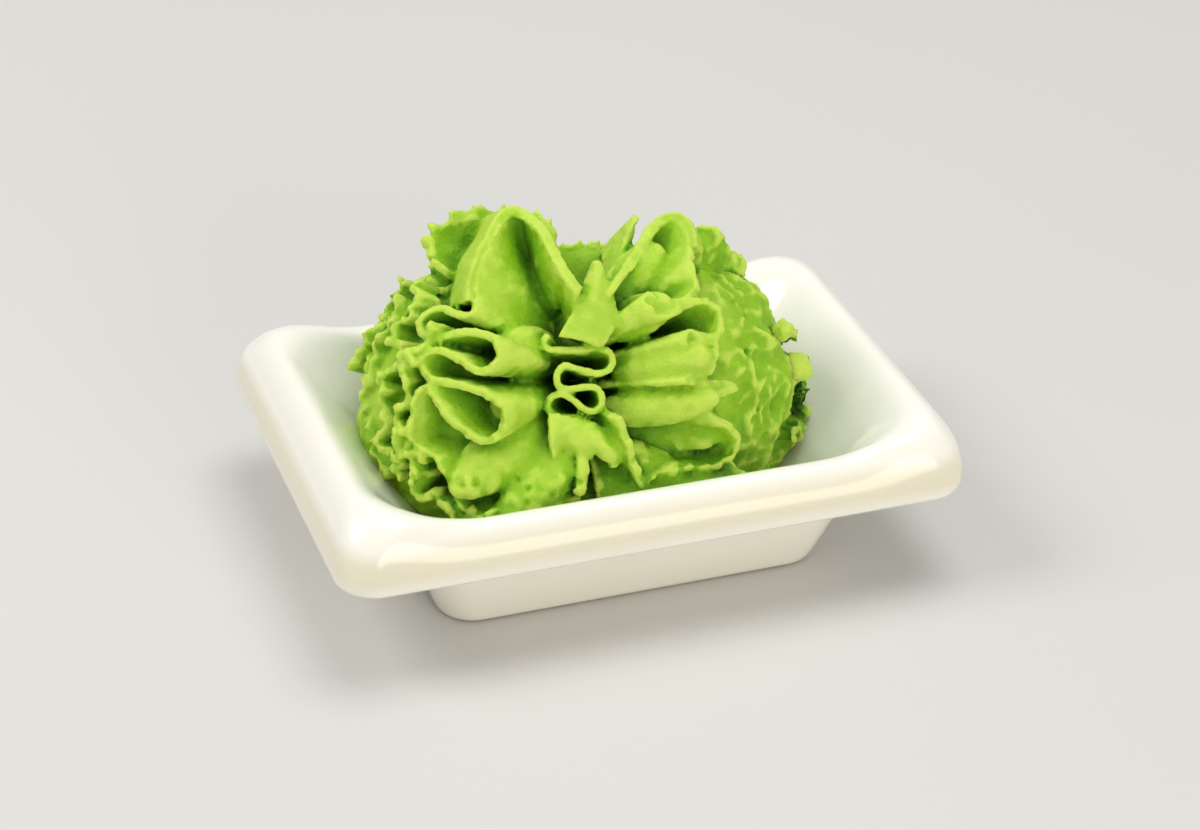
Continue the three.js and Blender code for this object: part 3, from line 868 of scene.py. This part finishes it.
class PasteProps(bpy.types.PropertyGroup):
    """Sizes and colours of the paste."""

    ruffle: bpy.props.FloatProperty(
        name="Ruffle", description="Thickness of a ruffle", default=0.0011,
        unit="LENGTH", subtype="DISTANCE")
    skin_cell: bpy.props.FloatProperty(
        name="Skin cell", description="Cell size of the paste's skin", default=0.00036,
        unit="LENGTH", subtype="DISTANCE")
    # deep and middle colours are painted shade in the folds
    deep_shade_colour: bpy.props.FloatVectorProperty(
        name="Deep", description="Colour deep in the folds", default=(0.025, 0.14, 0.0),
        subtype="COLOR")
    half_shade_colour: bpy.props.FloatVectorProperty(
        name="Middle", description="Colour inside the folds", default=(0.15, 0.41, 0.003),
        subtype="COLOR")
    face_colour: bpy.props.FloatVectorProperty(
        name="Face", description="Colour of the open faces", default=(0.33, 0.62, 0.012),
        subtype="COLOR")
    # the rim colour is a painted highlight on thin rims, and also the tone of pale grain flecks
    rim_highlight_and_fleck_colour: bpy.props.FloatVectorProperty(
        name="Rim", description="Colour of the thin rims", default=(0.59, 0.79, 0.1),
        subtype="COLOR")


class StageProps(bpy.types.PropertyGroup):
    """Where the camera stands."""

    azimuth: bpy.props.FloatProperty(
        name="Azimuth", description="Turn of the camera about the dish",
        default=math.radians(-22.8), unit="ROTATION", subtype="ANGLE")
    elevation: bpy.props.FloatProperty(
        name="Elevation", description="Height angle of the camera",
        default=math.radians(32.7), unit="ROTATION", subtype="ANGLE")
    roll: bpy.props.FloatProperty(
        name="Roll", description="Tilt of the camera", default=math.radians(3.7),
        unit="ROTATION", subtype="ANGLE")
    distance: bpy.props.FloatProperty(
        name="Distance", description="From the camera to its aim", default=0.4096,
        unit="LENGTH", subtype="DISTANCE")
    lens: bpy.props.FloatProperty(
        name="Lens", description="Focal length in millimetres", default=85.5)
    aim: bpy.props.FloatVectorProperty(
        name="Aim", description="The point the camera looks at",
        default=(0.0045, 0.0088, 0.0108), unit="LENGTH", subtype="TRANSLATION")


class WASABI_OT_dish(bpy.types.Operator):
    """Make the glazed dish"""

    bl_idname = "wasabi.dish"
    bl_label = "Dish"

    def execute(self, context):
        make_dish(context.scene.wasabi_dish)
        return {"FINISHED"}


class WASABI_OT_paste(bpy.types.Operator):
    """Make the ruffled paste"""

    bl_idname = "wasabi.paste"
    bl_label = "Paste"

    def execute(self, context):
        make_paste(context.scene.wasabi_paste)
        return {"FINISHED"}


class WASABI_OT_stage(bpy.types.Operator):
    """Make the floor, lights and camera"""

    bl_idname = "wasabi.stage"
    bl_label = "Stage"

    def execute(self, context):
        make_stage(context.scene.wasabi_stage)
        return {"FINISHED"}


class WASABI_PT_panel(bpy.types.Panel):
    """Lists the sizes and the makers"""

    bl_label = "Wasabi dish"
    bl_idname = "WASABI_PT_panel"
    bl_space_type = "VIEW_3D"
    bl_region_type = "UI"
    bl_category = "Wasabi"

    def draw(self, context):
        for name in ("dish", "paste", "stage"):
            group = getattr(context.scene, "wasabi_" + name)
            box = self.layout.box()
            for key in group.__annotations__:
                box.prop(group, key)
            box.operator("wasabi." + name)


CLASSES = (DishProps, PasteProps, StageProps, WASABI_OT_dish, WASABI_OT_paste,
           WASABI_OT_stage, WASABI_PT_panel)


def register():
    """Registers the classes and their settings."""
    for cls in CLASSES:
        bpy.utils.register_class(cls)
    bpy.types.Scene.wasabi_dish = bpy.props.PointerProperty(type=DishProps)
    bpy.types.Scene.wasabi_paste = bpy.props.PointerProperty(type=PasteProps)
    bpy.types.Scene.wasabi_stage = bpy.props.PointerProperty(type=StageProps)


def unregister():
    """Takes the settings and classes away."""
    del bpy.types.Scene.wasabi_stage, bpy.types.Scene.wasabi_paste, bpy.types.Scene.wasabi_dish
    for cls in reversed(CLASSES):
        bpy.utils.unregister_class(cls)


def main():
    """Builds the whole scene."""
    register()
    bpy.ops.wasabi.dish()
    bpy.ops.wasabi.paste()
    bpy.ops.wasabi.stage()


if __name__ == "__main__":
    main()
